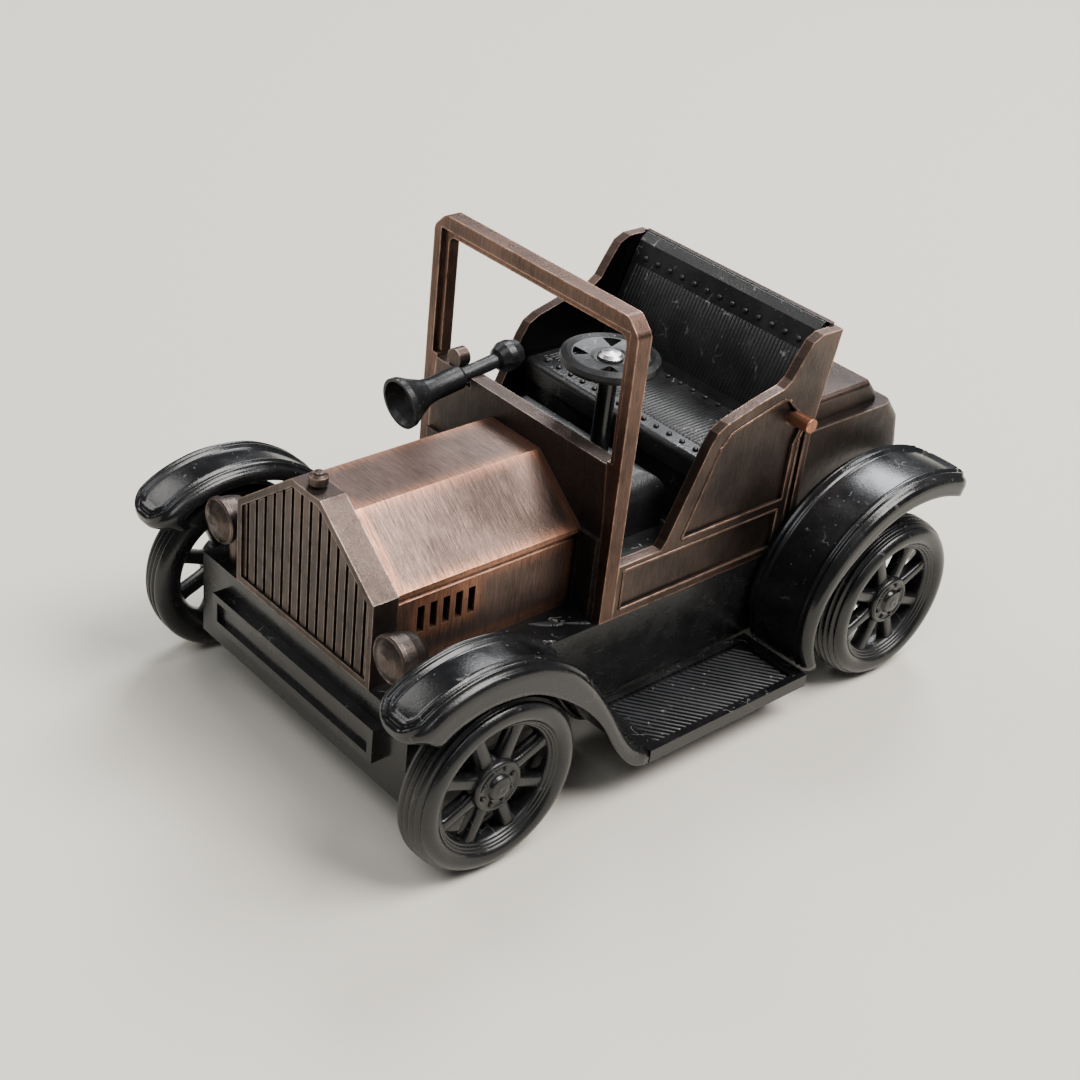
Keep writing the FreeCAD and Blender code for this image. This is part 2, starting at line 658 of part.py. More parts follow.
def fender(line, foot_inner, inner, end_y):
    """Fender skin with a turned-down outer lip, four beads and a rounded free end.

    Ahead of the wheel the skin is narrower, so that it clears the top of the chassis.
    """
    outer = dim("fender_outer").number
    shape = strip(line, 0, dim("fender_skin").number, foot_inner, outer)
    if inner > foot_inner:
        shape = shape.cut(Part.makeBox(inner - foot_inner + 1, 40, 40, FreeCAD.Vector(foot_inner - 1, -57.5, 0)))
    shape = shape.fuse(strip(line, 0, dim("fender_lip").number, outer - 1.1, outer))
    for low in (inner + 0.5, inner + 1.5, outer - 2.2, outer - 1.2):
        shape = shape.fuse(strip(line, -0.35, 0.2, low, low + 0.6))
    tool = corner_tool(outer, -abs(end_y), 3.2)
    middle = FreeCAD.Vector((inner + outer) / 2, 0, 0)
    tool = tool.fuse(tool.mirror(middle, FreeCAD.Vector(1, 0, 0)))
    if end_y > 0:
        tool = tool.mirror(FreeCAD.Vector(0, 0, 0), FreeCAD.Vector(0, 1, 0))
    below = Part.makeBox(40, 100, 20, FreeCAD.Vector(0, -50, board_bottom.number - 20))
    return shape.cut(tool).cut(below)


board_bottom = dim("board_level") - dim("board_depth")
front_foot = dim("chassis_half").number + 0.05
front_node = solid_node("fender_front_left", fender(FRONT_LINE, front_foot, dim("fender_inner").number, -39.75))
nodes.append(front_node)
nodes.append(twin("fender_front_right", front_node))
rear_inner = dim("frame_half").number + 0.05
rear_node = solid_node("fender_rear_left", fender(REAR_LINE, rear_inner, rear_inner, 39.9))
nodes.append(rear_node)
nodes.append(twin("fender_rear_right", rear_node))

# ---------------------------------------------------------------- running boards
board = prism("running_board_left", "XY_Plane", dim("board_level") - dim("board_depth"), dim("board_depth"),
              box_points(dim("chassis_half") + 0.05, dim("fender_outer"), dim("board_front") + 0.05,
                         dim("board_rear")))
tread = new_sketch(board, "XY_Plane", dim("board_level"))
outline(tread, box_points(dim("chassis_half") + 0.95, dim("fender_outer") - 0.9, dim("board_front") + 1.5,
                          dim("board_rear") - 1.5))
pocket(board, tread, 0.5)
nodes.append(board)
nodes.append(twin("running_board_right", board))

# ---------------------------------------------------------------- wheels and axles
wheel_inner = dim("wheel_outer") - dim("wheel_width")


def wheel(label, axle_y):
    """Smooth-treaded eight-spoke wheel moulded in one piece, bored for its axle."""
    body = new_body(label)
    tyre = dim("wheel_radius")
    outer = dim("wheel_outer")
    window = dim("window_radius")
    revolve(body, "XY_Plane", [
        (dim("chassis_half") + 0.3, dim("axle_radius")), (outer - 0.5, dim("axle_radius")),
        (outer - 0.5, 1.5), (outer - 0.8, dim("hub_radius") - 0.2), (outer - 1.2, dim("hub_radius")),
        (outer - 1.2, window - 0.3), (outer - 0.9, window), (outer - 0.3, window + 0.25),
        (outer - 0.3, window + 0.8), (outer - 0.05, window + 1.0), (outer, window + 1.9),
        (outer - 0.35, tyre - 1.1), (outer - 0.55, tyre - 1.05), (outer - 0.6, tyre - 0.6),
        (outer - 0.95, tyre - 0.5), (outer - 1.1, tyre - 0.1), (outer - 1.5, tyre),
        (wheel_inner + 1.2, tyre), (wheel_inner + 0.5, tyre - 0.3), (wheel_inner, tyre - 1.0),
        (wheel_inner, window + 0.9), (wheel_inner + 0.5, window), (outer - 2.5, window - 0.2),
        (outer - 2.5, dim("hub_radius")), (wheel_inner + 0.4, dim("hub_radius") - 0.3),
        (wheel_inner + 0.2, 1.8), (dim("chassis_half") + 0.3, 1.8),
    ], "H_Axis")
    window_sketch = new_sketch(body, "YZ_Plane", outer)
    low = dim("hub_radius") + 0.2
    outline(window_sketch, [
        (-0.5, low), (0.5, low), (1.72, window - 0.5), (0.9, window - 0.32), (0, window - 0.25),
        (-0.9, window - 0.32), (-1.72, window - 0.5),
    ])
    cut = pocket(body, window_sketch, 3)
    polar(body, cut, "X_Axis", 8)
    body.Placement.Base = FreeCAD.Vector(0, axle_y.number, dim("wheel_radius").number)
    return body


for end, axle_y in (("front", front_axle_y), ("rear", rear_axle_y)):
    left = wheel("wheel_%s_left" % end, axle_y)
    nodes.append(left)
    nodes.append(twin("wheel_%s_right" % end, left))
    half = dim("wheel_outer") - 0.3
    base = FreeCAD.Vector(-half.number, axle_y.number, dim("wheel_radius").number)
    axle = cylinder("axle_%s" % end, dim("axle_radius"), 2 * half, base, TO_X)
    nodes.append(axle)
    doc.recompute()

# ---------------------------------------------------------------- checks and export
doc.recompute()
for item in doc.Objects:
    if "Invalid" in item.State or "Error" in item.State:
        raise RuntimeError("%s failed: %s" % (item.Name, item.State))
for node in nodes:
    if node.Shape.isNull() or not node.Shape.isValid():
        raise RuntimeError("%s has no valid shape" % node.Label)

os.makedirs("parts", exist_ok=True)
for node in nodes:
    node.Shape.exportStep("parts/%s.step" % node.Label)
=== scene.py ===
import json
import math

import bmesh
import bpy
from mathutils import Matrix, Vector


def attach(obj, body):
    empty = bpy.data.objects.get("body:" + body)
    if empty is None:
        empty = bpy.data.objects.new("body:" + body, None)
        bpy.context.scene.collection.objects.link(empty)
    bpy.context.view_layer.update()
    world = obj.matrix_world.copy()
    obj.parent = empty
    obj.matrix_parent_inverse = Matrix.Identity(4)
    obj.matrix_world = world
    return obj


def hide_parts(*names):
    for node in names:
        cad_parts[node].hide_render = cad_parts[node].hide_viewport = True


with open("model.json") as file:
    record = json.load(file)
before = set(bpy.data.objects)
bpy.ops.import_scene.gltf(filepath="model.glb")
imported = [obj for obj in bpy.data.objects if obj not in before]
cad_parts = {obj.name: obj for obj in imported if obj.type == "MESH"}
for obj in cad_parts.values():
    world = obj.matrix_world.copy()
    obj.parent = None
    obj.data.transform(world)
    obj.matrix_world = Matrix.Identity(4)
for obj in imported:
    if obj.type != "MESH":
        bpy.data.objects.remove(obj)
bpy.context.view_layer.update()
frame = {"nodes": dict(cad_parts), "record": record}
NODES = frame["nodes"]
SUBPARTS = frame["record"]["subparts"]
MM = 0.001
SIDES = ((1, "left"), (-1, "right"))


# ------------------------------------------------------------------ node helpers
class Shader:
    """A small wrapper that adds and links the nodes of one material."""

    def __init__(self, name):
        self.material = bpy.data.materials.new(name)
        self.material.use_nodes = True
        self.tree = self.material.node_tree
        self.tree.nodes.clear()
        self.output = self.add("ShaderNodeOutputMaterial")
        self.surface = self.add("ShaderNodeBsdfPrincipled")
        self.link(self.surface.outputs["BSDF"], self.output.inputs["Surface"])
        self.place = self.add("ShaderNodeTexCoord").outputs["Object"]

    def add(self, kind, **settings):
        """Add a node with some of its properties set."""
        node = self.tree.nodes.new(kind)
        for key, value in settings.items():
            setattr(node, key, value)
        return node

    def link(self, source, target):
        """Link an output socket to an input socket."""
        self.tree.links.new(source, target)

    def feed(self, target, value):
        """Link a socket, or set a plain value."""
        if isinstance(value, bpy.types.NodeSocket):
            self.link(value, target)
        else:
            target.default_value = value

    def stretch(self, scale):
        """Object coordinates scaled per axis."""
        node = self.add("ShaderNodeMapping")
        self.link(self.place, node.inputs["Vector"])
        node.inputs["Scale"].default_value = scale
        return node.outputs["Vector"]

    def noise(self, scale, detail=4.0, rough=0.5, vector=None):
        """Soft noise between zero and one, with scale cells to the metre."""
        node = self.add("ShaderNodeTexNoise")
        self.link(vector or self.place, node.inputs["Vector"])
        node.inputs["Scale"].default_value = scale
        node.inputs["Detail"].default_value = detail
        node.inputs["Roughness"].default_value = rough
        return node.outputs["Fac"]

    def math(self, operation, first, second=0.0, clamp=False):
        """One step of arithmetic on sockets or plain numbers."""
        node = self.add("ShaderNodeMath", operation=operation, use_clamp=clamp)
        self.feed(node.inputs[0], first)
        self.feed(node.inputs[1], second)
        return node.outputs[0]

    def fit(self, value, low, high, to_low=0.0, to_high=1.0):
        """Map a range of a value smoothly onto another range."""
        node = self.add("ShaderNodeMapRange", interpolation_type="SMOOTHSTEP")
        self.feed(node.inputs["Value"], value)
        node.inputs["From Min"].default_value = low
        node.inputs["From Max"].default_value = high
        node.inputs["To Min"].default_value = to_low
        node.inputs["To Max"].default_value = to_high
        return node.outputs["Result"]

    def mix(self, factor, first, second):
        """Blend two colours: the first at zero and the second at one."""
        node = self.add("ShaderNodeMix", data_type="RGBA")
        self.feed(node.inputs["Factor"], factor)
        self.feed(node.inputs["A"], first)
        self.feed(node.inputs["B"], second)
        return node.outputs["Result"]

    def dot(self, first, second):
        """The dot product of two vectors, each a socket or plain numbers."""
        node = self.add("ShaderNodeVectorMath", operation="DOT_PRODUCT")
        self.feed(node.inputs[0], first)
        self.feed(node.inputs[1], second)
        return node.outputs["Value"]

    def edges(self, radius):
        """Zero on flat faces, rising within a radius of a sharp edge."""
        bevel = self.add("ShaderNodeBevel", samples=4)
        bevel.inputs["Radius"].default_value = radius
        plain = self.add("ShaderNodeNewGeometry").outputs["Normal"]
        return self.math("SUBTRACT", 1.0, self.dot(bevel.outputs["Normal"], plain), clamp=True)

    def hollows(self, distance):
        """Zero in the open, rising in corners and recesses."""
        node = self.add("ShaderNodeAmbientOcclusion", samples=4)
        node.inputs["Distance"].default_value = distance
        return self.math("SUBTRACT", 1.0, node.outputs["AO"], clamp=True)

    def facing(self, axis):
        """How far the surface faces along an axis of the car."""
        return self.dot(self.add("ShaderNodeNewGeometry").outputs["Normal"], axis)

    def bump(self, height, strength, distance):
        """Raise fine relief on the surface from a height."""
        node = self.add("ShaderNodeBump")
        node.inputs["Strength"].default_value = strength
        node.inputs["Distance"].default_value = distance
        self.link(height, node.inputs["Height"])
        self.link(node.outputs["Normal"], self.surface.inputs["Normal"])


def color(red, green, blue):
    """An opaque colour from its linear red, green and blue."""
    return (red, green, blue, 1.0)


# ------------------------------------------------------------------ materials
# distances inside a material, in metres
WORN_EDGE = 0.0003
# how far from an edge the painted sheen (a painted highlight) reaches
SHEEN_EDGE_REACH = 0.0024
HOLLOW_REACH = 0.0024
PLASTIC_EDGE = 0.00025
COPPER_RELIEF = 0.00010
STEEL_RELIEF = 0.00005
LINT_WANDER = 0.0016
BUMP_STRENGTH = 0.3

# how far noise is squeezed along each axis to draw brushing and scratches
UPRIGHT = (9000.0, 9000.0, 420.0)
DOWN_THE_SLOPE = (420.0, 9000.0, 420.0)
HANDLING = (6200.0, 420.0, 6200.0)
DRAWN = (900.0, 9000.0, 9000.0)

PATINA = color(0.016, 0.0135, 0.013)
BROWN = color(0.058, 0.040, 0.034)
# a warm highlight colour painted beside edges in place of light glinting there
PAINTED_SHEEN_METAL = color(0.60, 0.250, 0.135)
CREVICE = color(0.008, 0.007, 0.007)
CABIN_BLACK = color(0.006, 0.006, 0.007)
RIM_BRIGHT = color(0.56, 0.335, 0.24)
RIM_DULL = color(0.33, 0.255, 0.215)
PLASTIC_RUBBED = color(0.05, 0.052, 0.056)
PLASTIC_SCUFF = color(0.08, 0.08, 0.085)
DUST = color(0.34, 0.33, 0.31)
LINT = color(0.40, 0.39, 0.37)
STEEL_BRIGHT = color(0.62, 0.62, 0.64)
STEEL_TARNISHED = color(0.34, 0.33, 0.33)


def copper(name, bright, polish, brushing, painted_sheen, rim, inner=None):
    """Antique copper plating: dark patina, rubbed facets, bright worn edges and fine brushing.

    bright is the rubbed metal and polish is how much of it shows. brushing stretches the brush
    marks, painted_sheen paints a warm highlight on the metal beside edges where light would
    glint, rim is the colour of worn edges, and faces that look along inner are left dark.
    """
    s = Shader(name)
    cloud = s.noise(scale=110.0, detail=4.0, rough=0.55)
    patch = s.noise(scale=700.0, detail=4.0, rough=0.65)
    grain = s.noise(scale=4200.0, detail=3.0, rough=0.7)
    streak = s.noise(scale=1.0, detail=4.0, rough=0.75, vector=s.stretch(brushing))
    edge = s.edges(WORN_EDGE)
    sheen_band = s.fit(s.edges(SHEEN_EDGE_REACH), 0.0, 0.09)
    hollow = s.fit(s.hollows(HOLLOW_REACH), 0.20, 0.72)
    body = s.mix(s.fit(cloud, 0.34, 0.66), PATINA, BROWN)
    rubbed = s.math("MULTIPLY", s.fit(streak, 0.30, 0.70, 0.30, 1.0), polish)
    rubbed = s.math("MULTIPLY", rubbed, s.fit(cloud, 0.30, 0.60, 0.55, 1.0))
    body = s.mix(rubbed, body, bright)
    # painted sheen: a warm highlight painted on the metal beside edges, streaked with the brushing
    sheen_strength = s.math("MULTIPLY", sheen_band, painted_sheen)
    sheen_streaked = s.math("MULTIPLY", sheen_strength, s.fit(streak, 0.30, 0.62, 0.25, 1.0))
    body = s.mix(sheen_streaked, body, PAINTED_SHEEN_METAL)
    bare = s.fit(edge, 0.02, 0.20)
    worn = s.math("MULTIPLY", bare, s.fit(patch, 0.30, 0.58, 0.15, 1.0))
    body = s.mix(s.math("MULTIPLY", worn, 0.9), body, rim)
    body = s.mix(hollow, body, CREVICE)
    if inner:
        body = s.mix(s.fit(s.facing(inner), 0.55, 0.85, 0.0, 0.95), body, CABIN_BLACK)
    s.feed(s.surface.inputs["Base Color"], body)
    s.feed(s.surface.inputs["Metallic"], s.math("SUBTRACT", 0.90, s.math("MULTIPLY", hollow, 0.6)))
    brushed = s.fit(streak, 0.30, 0.70, 0.44, 0.28)
    s.feed(s.surface.inputs["Roughness"], s.math("ADD", brushed, s.fit(patch, 0.25, 0.75, 0.08, -0.03)))
    lines = s.math("MULTIPLY", streak, 0.5)
    height = s.math("ADD", lines, s.math("MULTIPLY", grain, 0.8))
    height = s.math("ADD", height, s.math("MULTIPLY", patch, 1.0))
    s.bump(height, BUMP_STRENGTH, COPPER_RELIEF)
    return s.material


def plastic(name, shade, rough_low, rough_high, bump_size, dusty):
    """Black moulded plastic with a faint mould texture, handling marks, dust specks and lint."""
    s = Shader(name)
    cloud = s.noise(scale=240.0, detail=4.0, rough=0.6)
    grain = s.noise(scale=3800.0, detail=2.0, rough=0.6)
    specks = s.add("ShaderNodeTexVoronoi", feature="F1")
    s.link(s.place, specks.inputs["Vector"])
    specks.inputs["Scale"].default_value = 1500.0
    speck = s.fit(specks.outputs["Distance"], 0.22, 0.06)
    dust = s.math("MULTIPLY", speck, s.fit(s.noise(scale=1300.0, detail=2.0), 0.54, 0.64))
    up = s.fit(s.facing((0, 0, 1)), 0.1, 0.9)
    dust = s.math("MULTIPLY", dust, s.math("ADD", s.math("MULTIPLY", up, 0.8), 0.15))

    # lint: short stretches of a net of fine lines that wander
    lint = s.add("ShaderNodeTexVoronoi", feature="DISTANCE_TO_EDGE")
    bent = s.add("ShaderNodeVectorMath", operation="ADD")
    wander = s.add("ShaderNodeTexNoise")
    s.link(s.place, wander.inputs["Vector"])
    wander.inputs["Scale"].default_value = 700.0
    shrink = s.add("ShaderNodeVectorMath", operation="SCALE")
    s.link(wander.outputs["Color"], shrink.inputs[0])
    shrink.inputs["Scale"].default_value = LINT_WANDER
    s.link(s.place, bent.inputs[0])
    s.link(shrink.outputs["Vector"], bent.inputs[1])
    s.link(bent.outputs["Vector"], lint.inputs["Vector"])
    lint.inputs["Scale"].default_value = 420.0
    line = s.fit(lint.outputs["Distance"], 0.030, 0.008)
    hair = s.math("MULTIPLY", line, s.fit(s.noise(scale=430.0, detail=2.0), 0.60, 0.66))
    hair = s.math("MULTIPLY", hair, s.math("ADD", s.math("MULTIPLY", up, 0.7), 0.2))

    scratch = s.noise(scale=1.0, detail=2.0, rough=0.5, vector=s.stretch(HANDLING))
    long_marks = s.fit(scratch, 0.62, 0.74)
    marks = s.math("MULTIPLY", long_marks, s.fit(cloud, 0.48, 0.62))
    edge = s.fit(s.edges(PLASTIC_EDGE), 0.05, 0.35)
    darker = color(shade * 0.7, shade * 0.72, shade * 0.78)
    lighter = color(shade * 1.3, shade * 1.32, shade * 1.45)
    body = s.mix(s.fit(cloud, 0.3, 0.7), darker, lighter)
    body = s.mix(s.math("MULTIPLY", edge, 0.22), body, PLASTIC_RUBBED)
    body = s.mix(s.math("MULTIPLY", marks, 0.22), body, PLASTIC_SCUFF)
    body = s.mix(s.math("MULTIPLY", dust, dusty), body, DUST)
    body = s.mix(s.math("MULTIPLY", hair, dusty), body, LINT)
    s.feed(s.surface.inputs["Base Color"], body)
    rough = s.fit(cloud, 0.3, 0.7, rough_low, rough_high)
    rough = s.math("ADD", rough, s.math("MULTIPLY", marks, 0.25))
    s.feed(s.surface.inputs["Roughness"], s.math("ADD", rough, s.math("MULTIPLY", dust, 0.4)))
    s.surface.inputs["Specular IOR Level"].default_value = 0.45
    s.bump(s.math("ADD", grain, s.math("MULTIPLY", cloud, 1.6)), BUMP_STRENGTH, bump_size)
    return s.material


def steel(name):
    """Bright drawn steel, brushed finely and a little tarnished."""
    s = Shader(name)
    cloud = s.noise(scale=600.0, detail=4.0)
    fine = s.noise(scale=1.0, detail=2.0, rough=0.5, vector=s.stretch(DRAWN))
    body = s.mix(s.fit(cloud, 0.35, 0.7), STEEL_BRIGHT, STEEL_TARNISHED)
    s.feed(s.surface.inputs["Base Color"], body)
    s.surface.inputs["Metallic"].default_value = 1.0
    s.feed(s.surface.inputs["Roughness"], s.fit(fine, 0.3, 0.7, 0.22, 0.42))
    s.bump(fine, BUMP_STRENGTH, STEEL_RELIEF)
    return s.material


PANEL_METAL = color(0.140, 0.106, 0.090)
COPPER = copper("antique_copper", bright=color(0.150, 0.098, 0.078), polish=0.45, brushing=UPRIGHT,
                painted_sheen=0.14, rim=RIM_BRIGHT)
COPPER_LEFT = copper("antique_copper_left_panel", bright=PANEL_METAL, polish=0.52, brushing=UPRIGHT,
                     painted_sheen=0.06, rim=RIM_BRIGHT, inner=(-1, 0, 0))
COPPER_RIGHT = copper("antique_copper_right_panel", bright=PANEL_METAL, polish=0.52, brushing=UPRIGHT,
                      painted_sheen=0.06, rim=RIM_BRIGHT, inner=(1, 0, 0))
COPPER_BACK = copper("antique_copper_seat_back", bright=color(0.12, 0.088, 0.074), polish=0.40,
                     brushing=UPRIGHT, painted_sheen=0.05, rim=RIM_DULL, inner=(0, -0.7, 0.7))
# the hood carries the strongest painted sheen, a highlight painted beside its edges
COPPER_HOOD = copper("buffed_copper", bright=color(0.205, 0.138, 0.114), polish=0.80,
                     brushing=DOWN_THE_SLOPE, painted_sheen=0.95, rim=RIM_BRIGHT)
COPPER_LAMP = copper("lamp_copper", bright=color(0.150, 0.126, 0.115), polish=0.60, brushing=UPRIGHT,
                     painted_sheen=0.04, rim=RIM_DULL)
COPPER_DARK = copper("patinated_copper", bright=color(0.096, 0.080, 0.071), polish=0.42,
                     brushing=UPRIGHT, painted_sheen=0.04, rim=RIM_DULL)
BLACK = plastic("black_plastic_gloss", shade=0.0065, rough_low=0.17, rough_high=0.30,
                bump_size=0.00004, dusty=0.30)
BLACK_SEAT = plastic("black_plastic_seat", shade=0.0085, rough_low=0.30, rough_high=0.48,
                     bump_size=0.00012, dusty=0.60)
BLACK_TREAD = plastic("black_plastic_tread", shade=0.020, rough_low=0.42, rough_high=0.58,
                      bump_size=0.00012, dusty=0.85)
BLACK_WHEEL = plastic("black_plastic_wheel", shade=0.0065, rough_low=0.22, rough_high=0.36,
                      bump_size=0.00004, dusty=0.25)
STEEL = steel("drawn_steel")

# the finish of each material slot of the record
FINISH = {
    "copper_casting": COPPER,
    "black_plastic": BLACK,
    "black_wheel_plastic": BLACK_WHEEL,
    "plain_steel": STEEL,
}
for row in SUBPARTS:
    NODES[row["node"]].data.materials.clear()
    NODES[row["node"]].data.materials.append(FINISH[row["material_slot"]])

# nodes with a finish of their own
OWN_FINISH = {
    COPPER_HOOD: ("hood", "hood_prop_peg_left", "hood_prop_peg_right"),
    COPPER_DARK: ("radiator_shell", "radiator_grille", "radiator_cap", "cowl_plate", "rear_trunk",
                  "trunk_lid"),
    COPPER_LEFT: ("side_panel_left",),
    COPPER_RIGHT: ("side_panel_right",),
    COPPER_BACK: ("seat_back_shell",),
    COPPER_LAMP: ("headlight_left", "headlight_right"),
    BLACK_SEAT: ("seat_base", "seat_cushion", "seat_back_pad", "cabin_floor", "toe_board",
                 "steering_wheel", "bulb_horn"),
}
for material, names in OWN_FINISH.items():
    for name in names:
        NODES[name].data.materials[0] = material


# ------------------------------------------------------------------ rounded edges
NODE_ROUNDING = 0.00012
WHEEL_ROUNDING = 0.00005


def soften(thing, width, angle=0.55, segments=2):
    """Round the sharp edges of a piece and shade the rest smoothly."""
    bevel = thing.modifiers.new("edge_rounding", "BEVEL")
    bevel.width = width
    bevel.segments = segments
    bevel.limit_method = "ANGLE"
    bevel.angle_limit = angle
    for face in thing.data.polygons:
        face.use_smooth = True


for node in NODES.values():
    soften(node, NODE_ROUNDING)


# ------------------------------------------------------------------ mesh helpers
def piece(name, mesh, material, body, *stands_for):
    """Make a mesh a piece of the car that rides on a CAD body and may stand for CAD nodes."""
    bmesh.ops.remove_doubles(mesh, verts=mesh.verts, dist=1e-6)
    bmesh.ops.dissolve_degenerate(mesh, dist=1e-7, edges=mesh.edges)
    bmesh.ops.recalc_face_normals(mesh, faces=mesh.faces)
    data = bpy.data.meshes.new(name)
    mesh.to_mesh(data)
    mesh.free()
    thing = bpy.data.objects.new(name, data)
    bpy.context.scene.collection.objects.link(thing)
    data.materials.append(material)
    for face in data.polygons:
        face.use_smooth = True
    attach(thing, body)
    if stands_for:
        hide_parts(*stands_for)
    return thing


def add_grid(mesh, rows, close_rows=False, close_columns=False):
    """Add a grid of points, a list of equal rows, as quads."""
    made = [[mesh.verts.new(point) for point in row] for row in rows]
    row_count, column_count = len(made), len(made[0])
    for i in range(row_count if close_rows else row_count - 1):
        for j in range(column_count if close_columns else column_count - 1):
            a, b = made[i], made[(i + 1) % row_count]
            k = (j + 1) % column_count
            mesh.faces.new((a[j], a[k], b[k], b[j]))
    return made


def add_bar(mesh, rings):
    """Add a solid bar through a list of rings of points, with both ends closed."""
    made = add_grid(mesh, rings, close_columns=True)
    mesh.faces.new(made[0])
    mesh.faces.new(made[-1])


def circle(count):
    """Evenly spaced angles round a full turn."""
    return [2 * math.pi * k / count for k in range(count)]


def smooth_line(points, steps):
    """A Catmull-Rom curve through the points, with even steps in each span."""
    out = []
    count = len(points)
    for index in range(count - 1):
        p = [Vector(points[max(index - 1, 0)]), Vector(points[index]),
             Vector(points[index + 1]), Vector(points[min(index + 2, count - 1)])]
        for step in range(steps):
            t = step / steps
            out.append(0.5 * (2 * p[1] + (p[2] - p[0]) * t
                              + (2 * p[0] - 5 * p[1] + 4 * p[2] - p[3]) * t * t
                              + (3 * p[1] - p[0] - 3 * p[2] + p[3]) * t ** 3))
    out.append(Vector(points[-1]))
    return out


def ease(value, low, high):
    """Zero below the low value, one above the high value, smooth between."""
    t = min(max((value - low) / (high - low), 0.0), 1.0)
    return t * t * (3 - 2 * t)


def ridge(distance, centre, half_width):
    """A rounded ridge profile, one at its centre."""
    t = abs(distance - centre) / half_width
    return 0.5 + 0.5 * math.cos(math.pi * t) if t < 1 else 0.0


def jitter(*numbers):
    """A repeatable number between -1 and 1 for a set of numbers."""
    total = sum(math.sin(n * (12.9898 + 7.31 * k)) * 43758.5453
                for k, n in enumerate(numbers, start=1))
    return 2 * (total - math.floor(total)) - 1


# ------------------------------------------------------------------ fenders
# side view of each fender in mm, as (y, z) from its free end to its foot on the running board
FRONT_LINE = [(-39.6, 18.6), (-38.6, 20.3), (-36.0, 22.0), (-32.5, 23.0), (-29.0, 23.1),
              (-25.0, 22.3), (-21.0, 20.1), (-17.8, 17.0), (-15.0, 13.0), (-12.6, 8.9),
              (-11.0, 6.7), (-9.8, 5.7), (-8.6, 5.4)]
REAR_LINE = [(39.4, 21.9), (36.4, 23.3), (32.4, 24.3), (28.0, 24.4), (23.6, 23.4), (19.6, 21.2),
             (16.6, 18.2), (14.6, 14.6), (13.9, 11.0), (14.3, 8.0), (15.4, 5.4)]
LINE_STEPS = 9

# sizes in mm
FENDER_OUTER = 24.4
NOSE_RADIUS = 3.1
EDGE_ROLL = 0.75
CROWN = 0.22
BEAD_HEIGHT = 0.42
BEAD_PLACES = (0.95, 1.65)
BEAD_HALF_WIDTH = 0.33
INNER_SKIRT = 1.25
FENDER_SKIN = 0.75

# the mesh: steps down the turned-down skirt, round the nose, along the fender and across it
SKIRT_STEPS = (1.0, 0.8, 0.6, 0.4, 0.2)
NOSE_STEPS = 14
LONG_STEPS = 60
CROSS_STEPS = 44
FENDER_COLUMNS = ([(0.0, drop) for drop in SKIRT_STEPS]
                  + [(k / CROSS_STEPS, 0.0) for k in range(CROSS_STEPS + 1)]
                  + [(1.0, drop) for drop in reversed(SKIRT_STEPS)])


def fender_stations(length):
    """Pairs of distance from the free end and share of the skirt's drop there."""
    stations = [(0.0, drop) for drop in SKIRT_STEPS]
    stations += [(NOSE_RADIUS * (1 - math.cos(math.pi / 2 * k / NOSE_STEPS)), 0.0)
                 for k in range(NOSE_STEPS + 1)]
    stations += [(NOSE_RADIUS + (length - NOSE_RADIUS) * k / LONG_STEPS, 0.0)
                 for k in range(1, LONG_STEPS + 1)]
    return stations


def along_line(path, reach, distance):
    """The point and the direction at a distance along a line of points."""
    index = max(k for k in range(len(reach)) if reach[k] <= distance + 1e-9)
    index = min(index, len(path) - 2)
    share = (distance - reach[index]) / (reach[index + 1] - reach[index])
    point = path[index].lerp(path[index + 1], min(share, 1.0))
    ahead = path[min(index + 2, len(path) - 1)] - path[max(index - 1, 0)]
    return point, ahead.normalized()


def edge_gap(from_inner, from_outer, distance):
    """Distance to the nearest edge of a fender, whose free end has round corners."""
    gap = min(from_inner, from_outer, distance)
    if distance < NOSE_RADIUS:
        for across in (from_inner, from_outer):
            if across < NOSE_RADIUS:
                corner = NOSE_RADIUS - math.hypot(NOSE_RADIUS - distance, NOSE_RADIUS - across)
                gap = min(gap, max(corner, 0.0))
    return gap


